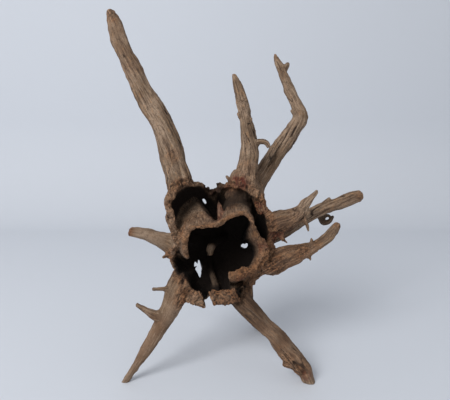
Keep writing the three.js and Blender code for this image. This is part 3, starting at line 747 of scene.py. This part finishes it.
# Moves every point along its normal by lumps, fibre ridges, furrows, cracks, worm holes and roughness,
# and the broken edges to and fro. Ridges and cracks are faint where the wood is rubbed. It gives the
# new points, their place along the fibres and what the colours go by. A number that is added inside a
# noise only takes another part of it.
def weathered(points, faces):
    out = normalsOf(points, faces)
    local = fibreFrame(points)
    s, u, w = local.T
    rot = zone(points, rotten)
    edge, lip, shade = edgeAndShade(points)
    # Painted light: where the hollow stands lit, the rot fades to half.
    rot = np.maximum(rot, 0.7 * edge) * (1 - 0.5 * zone(points, paintedLightZones))
    a, b = u / grain["fibre"], w / grain["fibre"]
    ridge = noise(s / grain["fibreLong"], a, b)
    fine = noise(s / grain["fineLong"] + 40, 2.2 * a, 2.2 * b)
    split = noise(s / grain["crackLong"] + 90, 0.62 * a, 0.62 * b)
    place = points / grain["lumpSize"]
    lump = noise(*place.T) + 0.5 * noise(*(2.1 * place + 30).T) + 0.5 * noise(*(4.3 * place + 70).T)
    where = step(noise(*(1.1 * place + 60).T), -0.05, 0.3)
    crack = np.exp(-((split / grain["crackWidth"]) ** 2)) * where
    worm = np.zeros(len(points))
    eaten = np.nonzero(rot > 0.05)[0]
    cell = np.stack([s[eaten] / 1.7, u[eaten], w[eaten]], 1) / grain["wormCell"]
    worm[eaten] = step(0.52 - seedDistance(*cell.T), 0, 0.3) * rot[eaten]
    rough = noise(*(points / grain["roughSize"]).T) * rot
    grooves = zone(points, grooved)
    wide = grain["furrowWide"]
    furrow = noise(s / grain["furrowLong"] + 20, u / wide, w / wide) * grooves
    fibrous = 1 - 0.8 * zone(points, rubbed)
    deep = np.exp(-((furrow / grain["furrowCrack"]) ** 2))
    crack = np.maximum(crack, 0.8 * deep * grooves) * fibrous
    height = (grain["ridge"] * ridge + grain["fine"] * fine) * fibrous - grain["crack"] * crack
    height += grain["furrow"] * furrow
    height = height * (1 - 0.5 * rot) + grain["rough"] * rough - grain["wormDepth"] * worm
    settled = step(points[:, 2], *grain["settled"])
    ragged = noise(*(points / grain["raggedSize"] + 20).T) * edge
    move = (height + grain["lump"] * (lump - 0.2) + grain["ragged"] * ragged) * settled
    x, y, z = points.T
    torn = noise(x / grain["tornSize"], y / grain["tornLong"], z / grain["tornSize"])
    points = points + out * move[:, None]
    points[:, 1] += grain["torn"] * torn * edge * settled
    relief = 0.5 + (0.35 * ridge + 0.2 * fine) * fibrous + 0.3 * rough + 0.4 * furrow
    warm = zone(points, brown) * (0.85 + 0.3 * noise(*(points / 15 + 5).T))
    marks = {
        "relief": np.clip(relief, 0, 1),
        "fibrous": fibrous,
        "crack": crack,
        "rot": np.clip(rot * (0.75 + 0.5 * noise(*(points / 9).T)), 0, 1),
        # painted light takes the brown off where the hollow stands lit
        "brown": warm * (1 - zone(points, paintedLightZones)),
        "red": zone(points, reddish) * (0.6 + 0.8 * noise(*(points / 5 + 9).T)),
        # a painted highlight on the inner wall's lit lip
        "lip": lip * (0.6 + 0.5 * noise(*(points / 8 + 3).T)),
        # painted shade, partly also the darker rotted wood of the hollow
        "shade": shade,
        "worm": worm,
    }
    return points, local, marks


points, local, marks = weathered(points, faces)
low, high = (np.array(corner) * perMetre for corner in cadBox)
inside = 0.05  # the wood stays this far inside the given box
points = np.clip(points, low + inside, high - inside)
print("weathered")

wood = meshObject("driftwood_stump", (points, faces))
wood.data.polygons.foreach_set("use_smooth", np.ones(len(faces), bool))
along = wood.data.attributes.new("fibre", "FLOAT_VECTOR", "POINT")
along.data.foreach_set("vector", (local / perMetre).astype(np.float32).ravel())
for name, values in marks.items():
    mark = wood.data.attributes.new(name, "FLOAT", "POINT")
    mark.data.foreach_set("value", np.clip(values, 0, 1).astype(np.float32))
fewer = wood.modifiers.new("fewer triangles", "DECIMATE")
fewer.ratio = min(1, grow["triangles"] / len(faces))


# One sRGB colour, as hex digits, in the linear values that a shader takes.
def linear(digits):
    parts = [int(digits[n : n + 2], 16) / 255 for n in (0, 2, 4)]
    return [c / 12.92 if c <= 0.04045 else ((c + 0.055) / 1.055) ** 2.4 for c in parts] + [1]


# A new material, with its node tree and its shader.
def newMaterial(name):
    made = bpy.data.materials.new(name)
    made.use_nodes = True
    return made, made.node_tree, made.node_tree.nodes["Principled BSDF"]


# Adds a node with settings, and sets or links its inputs: a socket is linked, another value is set.
def addNode(tree, kind, settings=None, **inputs):
    made = tree.nodes.new(kind)
    for name, value in (settings or {}).items():
        setattr(made, name, value)
    for name, value in inputs.items():
        into = made.inputs[int(name[2:]) if name.startswith("in") else name.replace("_", " ")]
        if isinstance(value, bpy.types.NodeSocket):
            tree.links.new(value, into)
        else:
            into.default_value = value
    return made


# Two colours mixed: first * (1 - share) + second * share.
def mixColour(tree, share, first, second):
    made = addNode(tree, "ShaderNodeMix", {"data_type": "RGBA"}, in0=share)
    for index, value in ((6, first), (7, second)):
        if isinstance(value, bpy.types.NodeSocket):
            tree.links.new(value, made.inputs[index])
        else:
            made.inputs[index].default_value = value
    return made.outputs[2]


# A soft step of a socket's value, from 0 at low to a top value at high.
def softStep(tree, value, low, high, top=1):
    ends = {"From_Min": low, "From_Max": high, "To_Max": top}
    settings = {"interpolation_type": "SMOOTHSTEP"}
    return addNode(tree, "ShaderNodeMapRange", settings, Value=value, **ends).outputs[0]


# The lip colour is a painted highlight, and the hollow colour is painted shade over darker rotted wood.
colours = {
    "bleached": "a8947e", "pale": "927c68", "mid": "725d4a", "deep": "433227", "crack": "221712",
    "brown": "664833", "tan": "a27c59", "rotPale": "9f6f4b", "rotMid": "553420", "pit": "241610",
    "red": "5a221a", "lip": "875b38", "hollow": "1a120d",
}
# Sizes in the material: a noise's scale is in lumps a metre, along and across the fibres for the
# streaks, and the bumps are in metres.
surfaceSizes = {
    "streaks": (22, 440, 440), "grit": (90, 310, 310), "patches": 28, "specks": 500, "holes": 440,
    "roughness": 0.88, "shine": 0.25, "streakBump": 0.0016, "rotBump": 0.002,
}


# Bare wood, bleached grey-brown by water and sun. Long and short streaks run along its fibres, faint
# where it is rubbed. Where rot and worms opened it, it is orange-brown and pitted. A painted highlight
# lightens the inner wall's lit lip, painted shade darkens the low places of the relief, and inside the
# hollow painted shade over the darker rotted wood makes it nearly black. Each layer is mixed over the
# last by a soft step of a noise or a mark.
def driftwoodMaterial():
    surface, tree, shader = newMaterial("weathered driftwood")
    c = {name: linear(digits) for name, digits in colours.items()}
    sizes = surfaceSizes

    def attribute(named):
        return addNode(tree, "ShaderNodeAttribute", {"attribute_name": named})

    def lumps(where, scale, detail, rough):
        settings = {"Vector": where, "Scale": scale, "Detail": detail, "Roughness": rough}
        return addNode(tree, "ShaderNodeTexNoise", **settings).outputs[0]

    mark = {name: attribute(name).outputs["Fac"] for name in marks}
    fibre = attribute("fibre").outputs["Vector"]
    place = addNode(tree, "ShaderNodeTexCoord").outputs["Object"]
    long, short = (
        addNode(tree, "ShaderNodeMapping", Vector=fibre, Scale=sizes[name]).outputs[0]
        for name in ("streaks", "grit"))
    streaks = lumps(long, 1, 5, 0.65)
    grit = lumps(short, 1, 3, 0.7)
    patches = lumps(place, sizes["patches"], 4, 0.6)
    specks = lumps(place, sizes["specks"], 3, 0.7)
    holes = addNode(tree, "ShaderNodeTexVoronoi", Vector=place, Scale=sizes["holes"])
    sound = mixColour(tree, softStep(tree, patches, 0.35, 0.65), c["mid"], c["pale"])
    sound = mixColour(tree, softStep(tree, mark["brown"], 0, 1, 0.75), sound, c["brown"])
    sound = mixColour(tree, softStep(tree, streaks, 0.52, 0.68, 0.5), sound, c["bleached"])
    eaten = mixColour(tree, softStep(tree, specks, 0.38, 0.62), c["rotMid"], c["rotPale"])
    eaten = mixColour(tree, softStep(tree, holes.outputs["Distance"], 0.3, 0.14, 0.85), eaten, c["pit"])
    eaten = mixColour(tree, softStep(tree, mark["worm"], 0.1, 0.7, 0.9), eaten, c["pit"])
    colour = mixColour(tree, mark["rot"], sound, eaten)
    # Painted highlight on the inner wall's lit lip.
    colour = mixColour(tree, softStep(tree, mark["lip"], 0, 1, 0.6), colour, c["lip"])
    colour = mixColour(tree, mark["red"], colour, c["red"])
    times = {"operation": "MULTIPLY"}
    for value, low, high, most, tint in [
        (grit, 0.53, 0.67, 0.55, "tan"), (grit, 0.47, 0.34, 0.62, "deep"),
        (streaks, 0.5, 0.36, 0.85, "deep"),
    ]:
        share = softStep(tree, value, low, high, most)
        share = addNode(tree, "ShaderNodeMath", times, in0=share, in1=mark["fibrous"]).outputs[0]
        colour = mixColour(tree, share, colour, c[tint])
    colour = mixColour(tree, softStep(tree, specks, 0.46, 0.33, 0.75), colour, c["deep"])
    # Painted shade: darker where the relief is low, in the grooves between the fibres.
    colour = mixColour(tree, softStep(tree, mark["relief"], 0.42, 0.08, 0.6), colour, c["deep"])
    colour = mixColour(tree, softStep(tree, mark["crack"], 0.25, 0.8, 0.9), colour, c["crack"])
    # Painted shade, partly also the darker rotted wood: nearly black inside the hollow where the shade
    # mark is high.
    colour = mixColour(tree, mark["shade"], colour, c["hollow"])
    tree.links.new(colour, shader.inputs["Base Color"])
    shader.inputs["Roughness"].default_value = sizes["roughness"]
    shader.inputs["Specular IOR Level"].default_value = sizes["shine"]
    bump = addNode(tree, "ShaderNodeBump", Height=streaks, Strength=0.8, Distance=sizes["streakBump"])
    pitted = {"Strength": mark["rot"], "Distance": sizes["rotBump"], "Normal": bump.outputs[0]}
    bump = addNode(tree, "ShaderNodeBump", Height=specks, **pitted)
    tree.links.new(bump.outputs[0], shader.inputs["Normal"])
    return surface


wood.data.materials.append(driftwoodMaterial())

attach(wood, "root")
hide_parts(node)
print("wood dressed")

# Floor, light and camera, in metres and degrees.
studio = {
    "floorHalf": 3.0, "floorFront": -2.0, "wallAt": 1.5, "bend": 0.5, "bendRows": 24, "wallTop": 3.0,
    "paper": "ced2d9", "paperRoughness": 0.8, "sky": (0.95, 0.97, 1, 1), "skyStrength": 0.55,
    "lamp": (-1.7, -2.4, 2.3), "lampToward": (0, 0, 0.25), "lampSize": 1.6, "lampPower": 95,
    "camera": (-0.024, -0.689, 0.376), "tilt": 82, "lens": 32, "sensor": 36,  # the last two in mm
}


# The floor and the wall behind it: a line along Y, a quarter circle and a line up, carried along X.
def backdropShell():
    turn = np.linspace(0, pi / 2, studio["bendRows"])
    y = studio["wallAt"] - studio["bend"] + studio["bend"] * np.sin(turn)
    z = studio["bend"] * (1 - np.cos(turn))
    y = np.concatenate([[studio["floorFront"]], y, [studio["wallAt"]]]) * perMetre
    z = np.concatenate([[0], z, [studio["wallTop"]]]) * perMetre
    half = studio["floorHalf"] * perMetre
    points = np.stack([np.stack([np.full(len(y), x), y, z], -1) for x in (-half, half)], 1)
    n = np.arange(len(y) - 1) * 2
    faces = np.concatenate([np.stack([n, n + 1, n + 3], -1), np.stack([n, n + 3, n + 2], -1)])
    return points.reshape(-1, 3), faces


backdrop = meshObject("studio_floor", backdropShell())
backdrop.data.polygons.foreach_set("use_smooth", np.ones(len(backdrop.data.polygons), bool))
paper, _, shader = newMaterial("matt pale paper")
shader.inputs["Base Color"].default_value = linear(studio["paper"])
shader.inputs["Roughness"].default_value = studio["paperRoughness"]
backdrop.data.materials.append(paper)

scene = bpy.context.scene
scene.view_settings.view_transform = "Standard"
world = bpy.data.worlds.new("studio")
world.use_nodes = True
sky = world.node_tree.nodes["Background"].inputs
sky["Color"].default_value = studio["sky"]
sky["Strength"].default_value = studio["skyStrength"]
scene.world = world

lamp = bpy.data.objects.new("window", bpy.data.lights.new("window", "AREA"))
lamp.data.size = studio["lampSize"]
lamp.data.energy = studio["lampPower"]
lamp.location = studio["lamp"]
way = Vector(studio["lamp"]) - Vector(studio["lampToward"])
lamp.rotation_euler = way.to_track_quat("Z", "Y").to_euler()
scene.collection.objects.link(lamp)

eye = bpy.data.objects.new("camera", bpy.data.cameras.new("camera"))
eye.location = studio["camera"]
eye.rotation_euler = (radians(studio["tilt"]), 0, 0)
eye.data.lens = studio["lens"]
eye.data.sensor_width = studio["sensor"]
scene.collection.objects.link(eye)
scene.camera = eye

print("scene ready")
